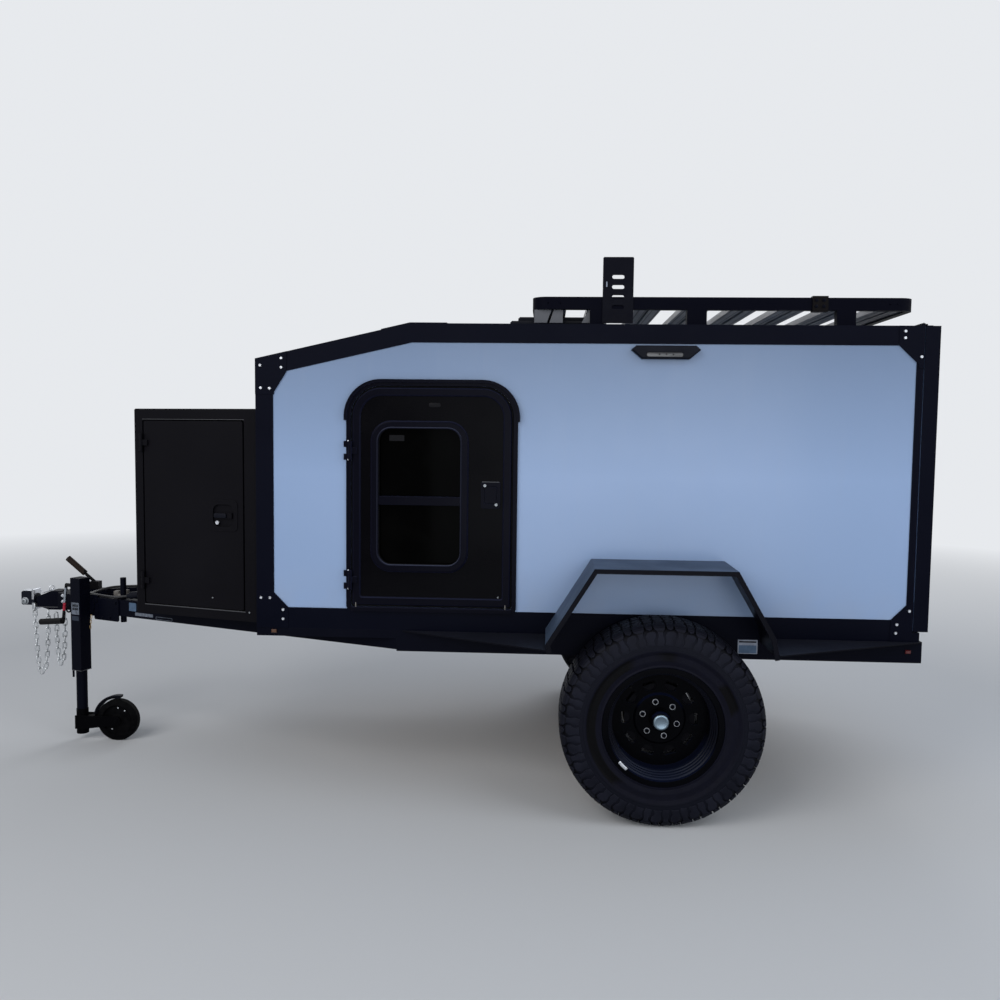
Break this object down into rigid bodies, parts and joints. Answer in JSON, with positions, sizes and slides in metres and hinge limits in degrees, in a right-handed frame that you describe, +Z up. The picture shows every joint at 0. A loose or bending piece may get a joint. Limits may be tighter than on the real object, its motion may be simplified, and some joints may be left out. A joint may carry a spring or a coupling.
{
  "type": "off-road teardrop camping trailer",
  "caption": "Squared off-road teardrop trailer with side entry doors, rear hatch, tongue storage box, roof rack and caster jack.",
  "frame": {"origin": "on the ground, midway along and across the whole trailer", "axes": "+X forward to the hitch, +Y to the trailer's left, +Z up"},
  "size_m": [4.198, 2.116, 2.252],
  "materials": {
    "panel_white": "gloss",
    "trim_black": "satin powder coat",
    "frame_black": "satin powder coat",
    "door_black": "gloss",
    "box_black": "textured powder coat",
    "steel_wheel": "satin",
    "hub_steel": "machined",
    "tyre_rubber": "matt rubber",
    "tinted_glass": "tinted",
    "rack_black": "satin powder coat",
    "slat_grey": "grooved",
    "black_plastic": "moulded",
    "lamp_lens": "clear moulded",
    "plated_steel": "zinc plated",
    "wheel_rubber": "matt",
    "floor_ply": "sealed plywood"
  },
  "bodies": {
    "trailer": {"accessory_bracket": "rack_black", "axle_beam": "frame_black", "brake_lever": "plated_steel", "corner_rails": "frame_black", "coupler_body": "frame_black", "cross_members": "frame_black", "door_frame_left": "door_black", "door_frame_right": "door_black", "edge_trims": "trim_black", "fender_left": "frame_black", "fender_right": "frame_black", "floor_deck": "floor_ply", "front_wall": "panel_white", "galley_cabinet": "floor_ply", "hatch_hinge": "trim_black", "jack_crank": "plated_steel", "jack_housing": "frame_black", "lead_plug": "black_plastic", "main_rails": "frame_black", "marker_lights": "lamp_lens", "porch_lights": "black_plastic", "rack_frame": "rack_black", "rack_slats": "slat_grey", "rear_frame": "trim_black", "rear_sill": "trim_black", "roof": "panel_white", "roof_seam": "trim_black", "roof_vent": "black_plastic", "side_steps": "frame_black", "side_wall_left": "panel_white", "side_wall_right": "panel_white", "storage_box": "box_black", "storage_hinges": "box_black", "tail_lights": "lamp_lens", "tongue_lead": "wheel_rubber", "tongue_legs": "frame_black", "tongue_nose": "frame_black", "trailing_arms": "frame_black"},
    "wheel_left": {"wheel_left": "steel_wheel", "tyre_left": "tyre_rubber", "hub_left": "hub_steel"},
    "wheel_right": {"wheel_right": "steel_wheel", "tyre_right": "tyre_rubber", "hub_right": "hub_steel"},
    "entry_door_left": {"entry_door_left": "door_black", "door_glass_left": "tinted_glass"},
    "entry_door_right": {"entry_door_right": "door_black", "door_glass_right": "tinted_glass"},
    "storage_door_left": {"storage_door_left": "box_black"},
    "storage_door_right": {"storage_door_right": "box_black"},
    "rear_hatch": {"rear_hatch": "panel_white", "hatch_trim": "trim_black"},
    "coupler_head": {"coupler_head": "plated_steel"},
    "jack_leg": {"jack_leg": "frame_black"},
    "jack_caster": {"jack_caster": "frame_black"},
    "jack_wheel": {"jack_wheel": "wheel_rubber"}
  },
  "joints": [
    {"name": "wheel_spin_left", "type": "hinge", "parent": "trailer", "child": "wheel_left", "pos_m": [-1.014, 0.902, 0.4015], "axis": [0, 1, 0], "continuous": true},
    {"name": "entry_door_swing_left", "type": "hinge", "parent": "trailer", "child": "entry_door_left", "pos_m": [0.255, 0.78, 1.2565], "axis": [0, 0, -1], "range_deg": [0, 110]},
    {"name": "storage_door_swing_left", "type": "hinge", "parent": "trailer", "child": "storage_door_left", "pos_m": [1.2474, 0.51983, 1.1585], "axis": [0, 0, -1], "range_deg": [0, 100]},
    {"name": "wheel_spin_right", "type": "hinge", "parent": "trailer", "child": "wheel_right", "pos_m": [-1.014, -0.902, 0.4015], "axis": [0, 1, 0], "continuous": true},
    {"name": "entry_door_swing_right", "type": "hinge", "parent": "trailer", "child": "entry_door_right", "pos_m": [0.255, -0.78, 1.2565], "axis": [0, 0, 1], "range_deg": [0, 110]},
    {"name": "storage_door_swing_right", "type": "hinge", "parent": "trailer", "child": "storage_door_right", "pos_m": [1.2474, -0.51983, 1.1585], "axis": [0, 0, 1], "range_deg": [0, 100]},
    {"name": "hatch_lift", "type": "hinge", "parent": "trailer", "child": "rear_hatch", "pos_m": [-2.039, 0, 1.9745], "axis": [0, 1, 0], "range_deg": [0, 85]},
    {"name": "coupler_roll", "type": "hinge", "parent": "trailer", "child": "coupler_head", "pos_m": [2.045, 0, 0.651], "axis": [1, 0, 0], "continuous": true},
    {"name": "jack_extend", "type": "slide", "parent": "trailer", "child": "jack_leg", "axis": [0, 0, 1], "range_m": [-0.19, 0.15]},
    {"name": "caster_swivel", "type": "hinge", "parent": "jack_leg", "child": "jack_caster", "pos_m": [1.716, 0.17895, 0.03], "axis": [0, 0, 1], "continuous": true},
    {"name": "jack_wheel_spin", "type": "hinge", "parent": "jack_caster", "child": "jack_wheel", "pos_m": [1.534, 0.17895, 0.101], "axis": [0, 1, 0], "continuous": true}
  ]
}
